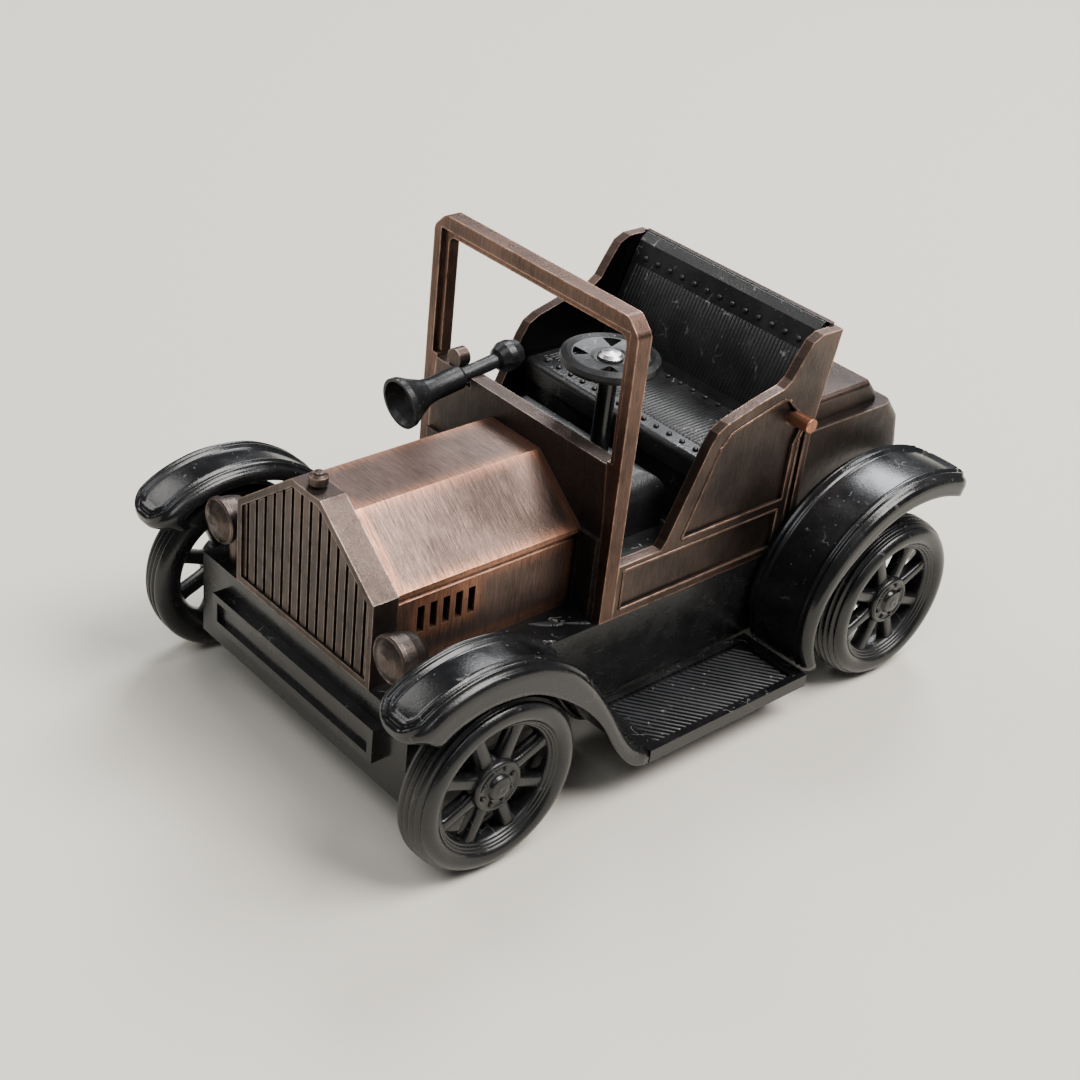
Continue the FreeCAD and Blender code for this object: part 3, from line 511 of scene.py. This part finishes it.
def fender(name, node, line, side, inner, foot_inner, skirt):
    """Crowned fender: rounded free end, two beads along every edge and a turned-down skirt."""
    path = smooth_line([(0, y, z) for y, z in line], LINE_STEPS)
    reach = [0.0]
    for before, after in zip(path, path[1:]):
        reach.append(reach[-1] + (after - before).length)
    length = reach[-1]
    forward = 1 if path[-1].y > path[0].y else -1
    rows = []
    for distance, nose_drop in fender_stations(length):
        point, tangent = along_line(path, reach, distance)
        normal = Vector((0, -tangent.z, tangent.y)) * forward
        widen = ease(distance, length * 0.55, length * 0.72)
        left = inner + (foot_inner - inner) * widen
        inside = NOSE_RADIUS - min(distance, NOSE_RADIUS)
        curve = NOSE_RADIUS - math.sqrt(max(NOSE_RADIUS ** 2 - inside ** 2, 0.0))
        row = []
        for across, side_drop in FENDER_COLUMNS:
            x_low, x_high = left + curve, FENDER_OUTER - curve
            x = x_low + (x_high - x_low) * across
            from_inner, from_outer = x - left, FENDER_OUTER - x
            gap = edge_gap(from_inner, from_outer, distance)
            bead = BEAD_HEIGHT * sum(ridge(gap, place, BEAD_HALF_WIDTH) for place in BEAD_PLACES)
            bead *= 1 - ease(distance, length * 0.62, length * 0.80) * 0.75
            rolled = 1 - min(gap / EDGE_ROLL, 1.0)
            roll = -EDGE_ROLL * (1 - math.sqrt(max(1 - rolled ** 2, 0.0)))
            crown = CROWN * (1 - ((2 * x - left - FENDER_OUTER) / (FENDER_OUTER - left)) ** 2)
            drop = max(nose_drop, side_drop)
            depth = skirt * (1 - 0.45 * ease(distance, length * 0.5, length * 0.8))
            if from_inner < from_outer and drop == side_drop and distance > NOSE_RADIUS:
                depth = INNER_SKIRT
            height = bead + roll + crown - drop * (depth - EDGE_ROLL)
            row.append(Vector((side * x * MM, 0, 0)) + Vector((0, point.y, point.z)) * MM
                       + normal * height * MM)
        rows.append(row)
    mesh = bmesh.new()
    add_grid(mesh, rows)
    thing = piece(name, mesh, BLACK, "car", node)
    shell = thing.modifiers.new("skin", "SOLIDIFY")
    shell.thickness = FENDER_SKIN * MM
    shell.offset = -1.0
    up_face = max(thing.data.polygons, key=lambda face: face.center.z)
    if up_face.normal.z < 0:
        thing.data.flip_normals()


for side, word in SIDES:
    fender("fender_front_%s_shell" % word, "fender_front_" + word, FRONT_LINE, side,
           inner=17.45, foot_inner=15.05, skirt=2.7)
    fender("fender_rear_%s_shell" % word, "fender_rear_" + word, REAR_LINE, side,
           inner=15.15, foot_inner=15.15, skirt=2.0)


# ------------------------------------------------------------------ wheels
# sections of the tyre and of the hub, as (x, radius) in mm
TYRE = [(20.2, 7.3), (20.2, 8.6), (20.4, 9.2), (20.8, 9.6), (21.1, 9.7), (21.3, 9.7),
        (21.42, 9.4), (21.62, 9.4), (21.75, 9.7), (22.0, 9.7), (22.12, 9.36), (22.32, 9.36),
        (22.45, 9.66), (22.7, 9.64), (22.82, 9.28), (23.0, 9.28), (23.12, 9.52), (23.35, 9.46),
        (23.46, 9.08), (23.62, 9.06), (23.74, 9.2), (23.95, 9.05), (24.2, 8.8), (24.36, 8.45),
        (24.4, 8.05), (24.3, 7.6), (24.05, 7.25), (23.9, 7.2), (23.88, 7.0), (23.7, 6.95),
        (23.68, 6.75), (23.45, 6.7), (23.42, 6.5), (23.1, 6.4), (22.6, 6.3), (21.8, 6.3),
        (21.2, 6.5), (20.6, 6.9)]
HUB = [(15.35, 1.0), (15.35, 1.75), (15.5, 1.85), (20.3, 1.85), (20.6, 2.3), (20.8, 2.4),
       (22.4, 2.75), (23.5, 2.8), (23.75, 2.65), (23.8, 2.35), (23.66, 2.2), (23.64, 1.45),
       (23.8, 1.3), (24.0, 1.25), (24.2, 1.0), (24.36, 0.6), (24.4, 0.02), (24.2, 0.02),
       (24.2, 1.0)]
TYRE_SEGMENTS = 120
HUB_SEGMENTS = 72

# a spoke's section as (offset, x), and how its width changes as (radius, factor)
SPOKE_SECTION = [(-0.68, 21.9), (-0.68, 23.0), (-0.55, 23.2), (-0.3, 23.3), (0.3, 23.3),
                 (0.55, 23.2), (0.68, 23.0), (0.68, 21.9)]
SPOKE_WIDTHS = [(2.4, 1.25), (3.0, 1.05), (3.6, 0.95), (5.6, 0.95), (6.1, 1.05), (6.6, 1.3)]
SPOKE_ANGLES = [math.pi * (k + 0.5) / 4 for k in range(8)]

AXLE_Y = 28.5
AXLE_Z = 9.7
HUB_FACE = 23.66
HUB_STUDS_Y = 1.85
HUB_STUDS_Z = 2.0
HUB_STUD_RADIUS = 0.26
HUB_STUD_HEIGHT = 0.22

# a stud's section, as (share of its radius, share of its height)
STUD_SECTION = [(1.0, -0.3), (1.0, 0.35), (0.85, 0.7), (0.5, 0.93), (0.05, 1.0)]
STUD_SEGMENTS = 14


def turned(mesh, profile, centre, side, segments):
    """Turn a closed profile of (x, radius) pairs about the wheel's axis."""
    rows = []
    for angle in circle(segments):
        rows.append([centre + Vector((side * x * MM, math.cos(angle) * radius * MM,
                                      math.sin(angle) * radius * MM))
                     for x, radius in profile])
    add_grid(mesh, rows, close_rows=True, close_columns=True)


def spoke(mesh, centre, side, angle):
    """One flat spoke with rounded front edges, sunk into the hub and the rim."""
    out = Vector((0, math.cos(angle), math.sin(angle)))
    across = Vector((0, -math.sin(angle), math.cos(angle)))
    add_bar(mesh, [[centre + Vector((side * x * MM, 0, 0)) + out * radius * MM
                    + across * offset * swell * MM for offset, x in SPOKE_SECTION]
                   for radius, swell in SPOKE_WIDTHS])


def stud(mesh, centre, axis, radius, height):
    """A low round stud with a domed top, standing on a surface."""
    axis = Vector(axis).normalized()
    first = axis.orthogonal().normalized()
    second = axis.cross(first)
    add_bar(mesh, [[centre + (first * math.cos(t) + second * math.sin(t)) * radius * share
                    + axis * height * lift for t in circle(STUD_SEGMENTS)]
                   for share, lift in STUD_SECTION])


for end, y in (("front", -AXLE_Y), ("rear", AXLE_Y)):
    for side, word in SIDES:
        centre = Vector((0, y, AXLE_Z)) * MM
        mesh = bmesh.new()
        turned(mesh, TYRE, centre, side, TYRE_SEGMENTS)
        turned(mesh, HUB, centre, side, HUB_SEGMENTS)
        for angle in SPOKE_ANGLES:
            spoke(mesh, centre, side, angle)
        for angle in SPOKE_ANGLES:
            place = Vector((side * HUB_FACE, HUB_STUDS_Y * math.cos(angle), HUB_STUDS_Z * math.sin(angle)))
            stud(mesh, centre + place * MM, (side, 0, 0), HUB_STUD_RADIUS * MM, HUB_STUD_HEIGHT * MM)
        wheel = piece("wheel_%s_%s_moulding" % (end, word), mesh, BLACK_WHEEL, end + "_wheelset",
                      "wheel_%s_%s" % (end, word))
        soften(wheel, WHEEL_ROUNDING, angle=0.9, segments=1)


# ------------------------------------------------------------------ moulded relief
# a rib's section, as (share of its half width, share of its height)
RIB_SECTION = [(-1.0, -0.35), (-0.62, 0.68), (0.0, 1.0), (0.62, 0.68), (1.0, -0.35)]
RIB_END_RISE = 0.05


def rib(mesh, start, end, up, half_width, height):
    """A low rounded rib from start to end, fading out at both ends, standing on a surface."""
    start, end, up = Vector(start) * MM, Vector(end) * MM, Vector(up).normalized()
    along = (end - start).normalized()
    side = along.cross(up).normalized() * half_width * MM
    taper = min(height * MM, (end - start).length * 0.3)
    places = ((start, RIB_END_RISE), (start + along * taper, 1.0), (end - along * taper, 1.0),
              (end, RIB_END_RISE))
    add_bar(mesh, [[place + side * across + up * height * MM * (level * rise if level > 0 else level)
                    for across, level in RIB_SECTION] for place, rise in places])


BUTTON_PITCH = 1.93
BUTTON_RADIUS = 0.32
BUTTON_HEIGHT = 0.30
BUTTON_X = [BUTTON_PITCH * k for k in range(-6, 7)]
PLEAT_X = [k * BUTTON_PITCH / 4 for k in range(-26, 27)]
PLEAT_HALF_WIDTH = 0.22

# seat cushion: pleats from front to back between two rows of buttons
CUSHION_TOP = 29.8
CUSHION_PLEATS = (6.7, 14.3)
CUSHION_BUTTONS = (5.7, 15.0)
CUSHION_PLEAT_HEIGHT = 0.11
mesh = bmesh.new()
for x in PLEAT_X:
    rib(mesh, (x, CUSHION_PLEATS[0], CUSHION_TOP), (x, CUSHION_PLEATS[1], CUSHION_TOP), (0, 0, 1),
        PLEAT_HALF_WIDTH, CUSHION_PLEAT_HEIGHT)
for x in BUTTON_X:
    for y in CUSHION_BUTTONS:
        stud(mesh, Vector((x, y, CUSHION_TOP)) * MM, (0, 0, 1), BUTTON_RADIUS * MM, BUTTON_HEIGHT * MM)
piece("seat_cushion_pleats", mesh, BLACK_SEAT, "car")

# seat back: pleats up the slope and one row of buttons under the top edge
BACK_PLEATS = (0.10, 0.78)
BACK_BUTTONS = 0.86
BACK_PLEAT_HEIGHT = 0.06
foot, head = Vector((0, 15.4, CUSHION_TOP)), Vector((0, 19.8, 40.7))
slope = head - foot
outward = Vector((0, -slope.z, slope.y)).normalized()
mesh = bmesh.new()
for pleat in PLEAT_X:
    x = Vector((pleat, 0, 0))
    rib(mesh, foot + slope * BACK_PLEATS[0] + x, foot + slope * BACK_PLEATS[1] + x, outward,
        PLEAT_HALF_WIDTH, BACK_PLEAT_HEIGHT)
for x in BUTTON_X:
    stud(mesh, (foot + slope * BACK_BUTTONS + Vector((x, 0, 0))) * MM, outward, BUTTON_RADIUS * MM,
         BUTTON_HEIGHT * MM)
piece("seat_back_pleats", mesh, BLACK_SEAT, "car")

# running boards: fine slanting tread ribs inside the raised border
TREAD_ANGLE = math.radians(38.0)
TREAD_PITCH = 0.62
TREAD_X = (16.1, 23.35)
TREAD_Y = (-6.9, 13.35)
TREAD_LEVEL = 4.9
SHORTEST_TREAD = 0.6


def tread(name, side):
    """The slanting ribs of one running board."""
    mesh = bmesh.new()
    tangent = math.tan(TREAD_ANGLE)
    step = TREAD_PITCH / math.cos(TREAD_ANGLE)
    rise = (TREAD_X[1] - TREAD_X[0]) * tangent
    count = int((TREAD_Y[1] - TREAD_Y[0] + rise) / step)
    for k in range(1, count):
        y_start = TREAD_Y[0] - rise + k * TREAD_PITCH / math.cos(TREAD_ANGLE)
        first = max(TREAD_X[0], TREAD_X[0] + (TREAD_Y[0] - y_start) / tangent)
        last = min(TREAD_X[1], TREAD_X[0] + (TREAD_Y[1] - y_start) / tangent)
        if last - first > SHORTEST_TREAD:
            start = (side * first, y_start + (first - TREAD_X[0]) * tangent, TREAD_LEVEL)
            end = (side * last, y_start + (last - TREAD_X[0]) * tangent, TREAD_LEVEL)
            rib(mesh, start, end, (0, 0, 1), half_width=0.19, height=0.24)
    piece(name, mesh, BLACK_TREAD, "car")


for side, word in SIDES:
    tread("running_board_%s_tread" % word, side)

# rough cast patches on the deck beside the back of the hood, and a round mark on the cowl
PATCH_RIBS = 230
PATCH_CENTRE = (13.0, -12.4, 15.5)
PATCH_SPREAD = (1.75, 3.0)
MARK_CENTRE = (12.2, -8.8, 22.6)
MARK_RADIUS = 1.05
MARK_THICKNESS = 0.12
MARK_SEGMENTS = 40
MARK_SIDES = 8


def deck_patch(name, side):
    """Short ribs strewn over a patch of the deck."""
    mesh = bmesh.new()
    for k in range(PATCH_RIBS):
        middle = Vector((side * (PATCH_CENTRE[0] + PATCH_SPREAD[0] * jitter(k, 1)),
                         PATCH_CENTRE[1] + PATCH_SPREAD[1] * jitter(k, 2), PATCH_CENTRE[2]))
        turn = math.pi * jitter(k, 3)
        half = Vector((math.cos(turn), math.sin(turn), 0)) * (0.32 + 0.2 * jitter(k, 4))
        rib(mesh, middle - half, middle + half, (0, 0, 1), half_width=0.08, height=0.13)
    piece(name, mesh, BLACK_TREAD, "car")


def cowl_mark(name, side):
    """A thin raised ring on the front of the cowl."""
    mesh = bmesh.new()
    centre = Vector((side * MARK_CENTRE[0], MARK_CENTRE[1], MARK_CENTRE[2])) * MM
    rows = []
    for angle in circle(MARK_SEGMENTS):
        out = Vector((math.cos(angle), 0, math.sin(angle)))
        rows.append([centre + out * (MARK_RADIUS + MARK_THICKNESS * math.cos(t)) * MM
                     + Vector((0, -MARK_THICKNESS * math.sin(t), 0)) * MM
                     for t in circle(MARK_SIDES)])
    add_grid(mesh, rows, close_rows=True, close_columns=True)
    piece(name, mesh, COPPER_DARK, "car")


for side, word in SIDES:
    deck_patch("deck_texture_" + word, side)
    cowl_mark("cowl_mark_" + word, side)

# raised edge lines on the copper side panels, as (y, z) round each sunk field
PANEL_FACE = 15.1
PANEL_FIELDS = [
    [(-6.2, 16.4), (16.4, 16.4), (16.4, 21.1), (-6.2, 21.1)],
    [(1.6, 22.2), (16.9, 22.2), (17.0, 29.0), (18.0, 31.4), (15.2, 34.6), (14.2, 34.9),
     (6.9, 33.1), (5.6, 31.8)],
    [(17.7, 16.4), (18.7, 16.4), (18.8, 30.0), (18.2, 30.6), (17.8, 29.4)],
]
for (side, word), finish in zip(SIDES, (COPPER_LEFT, COPPER_RIGHT)):
    mesh = bmesh.new()
    for field in PANEL_FIELDS:
        for start, end in zip(field, field[1:] + field[:1]):
            rib(mesh, (side * PANEL_FACE, start[0], start[1]), (side * PANEL_FACE, end[0], end[1]),
                (side, 0, 0), half_width=0.20, height=0.16)
    piece("side_panel_%s_beads" % word, mesh, finish, "car")

# ------------------------------------------------------------------ floor, light, camera
FLOOR_SIZE = 3.0
bpy.ops.mesh.primitive_plane_add(size=FLOOR_SIZE)
floor = bpy.context.object
floor.name = "floor"
pale = Shader("pale_floor")
pale.surface.inputs["Base Color"].default_value = color(0.72, 0.68, 0.60)
pale.surface.inputs["Roughness"].default_value = 0.9
floor.data.materials.append(pale.material)

WORLD_COLOR = color(0.85, 0.88, 0.92)
WORLD_STRENGTH = 0.16
world = bpy.data.worlds.new("studio")
bpy.context.scene.world = world
world.use_nodes = True
background = world.node_tree.nodes["Background"]
background.inputs["Color"].default_value = WORLD_COLOR
background.inputs["Strength"].default_value = WORLD_STRENGTH


def direction(azimuth, elevation):
    """From the car towards a place around it: azimuth 0 is the front and 90 the left."""
    a, e = math.radians(azimuth), math.radians(elevation)
    return Vector((math.sin(a) * math.cos(e), -math.cos(a) * math.cos(e), math.sin(e)))


LAMP_TARGET = Vector((0, 0, 0.02))


def lamp(name, azimuth, elevation, distance, size, power, tint):
    """A square soft light aimed at the car."""
    light = bpy.data.lights.new(name, "AREA")
    light.size = size
    light.energy = power
    light.color = tint
    thing = bpy.data.objects.new(name, light)
    bpy.context.scene.collection.objects.link(thing)
    back = direction(azimuth, elevation)
    thing.location = LAMP_TARGET + back * distance
    thing.rotation_mode = "QUATERNION"
    thing.rotation_quaternion = (-back).to_track_quat("-Z", "Y")


lamp("window_light", azimuth=128.0, elevation=60.0, distance=0.75, size=0.42, power=9.6,
     tint=(1.0, 0.98, 0.95))
lamp("back_light", azimuth=215.0, elevation=46.0, distance=0.8, size=0.30, power=5.0,
     tint=(0.94, 0.97, 1.0))
lamp("fill_light", azimuth=20.0, elevation=56.0, distance=0.9, size=0.40, power=2.4,
     tint=(0.95, 0.97, 1.0))
lamp("side_light", azimuth=-70.0, elevation=40.0, distance=0.9, size=0.40, power=2.4,
     tint=(1.0, 0.98, 0.95))

# the camera looks down on the front left corner of the car, turned a little about its own axis
AZIMUTH, ELEVATION, ROLL, LENS = 45.56, 31.72, 6.61, 60.8
SENSOR_WIDTH = 36.0
NEAR_CLIP = 0.01
CAMERA_PLACE = Vector((0.11885, -0.12014, 0.11868))
a, r = math.radians(AZIMUTH), math.radians(ROLL)
back = direction(AZIMUTH, ELEVATION)
level = Vector((math.cos(a), math.sin(a), 0))
upright = back.cross(level)
right = level * math.cos(r) + upright * math.sin(r)
up = upright * math.cos(r) - level * math.sin(r)
camera_data = bpy.data.cameras.new("camera")
camera_data.lens = LENS
camera_data.sensor_width = SENSOR_WIDTH
camera_data.clip_start = NEAR_CLIP
camera = bpy.data.objects.new("camera", camera_data)
bpy.context.scene.collection.objects.link(camera)
turn = Matrix((right, up, back)).transposed().to_4x4()
camera.matrix_world = Matrix.Translation(CAMERA_PLACE) @ turn
bpy.context.scene.camera = camera
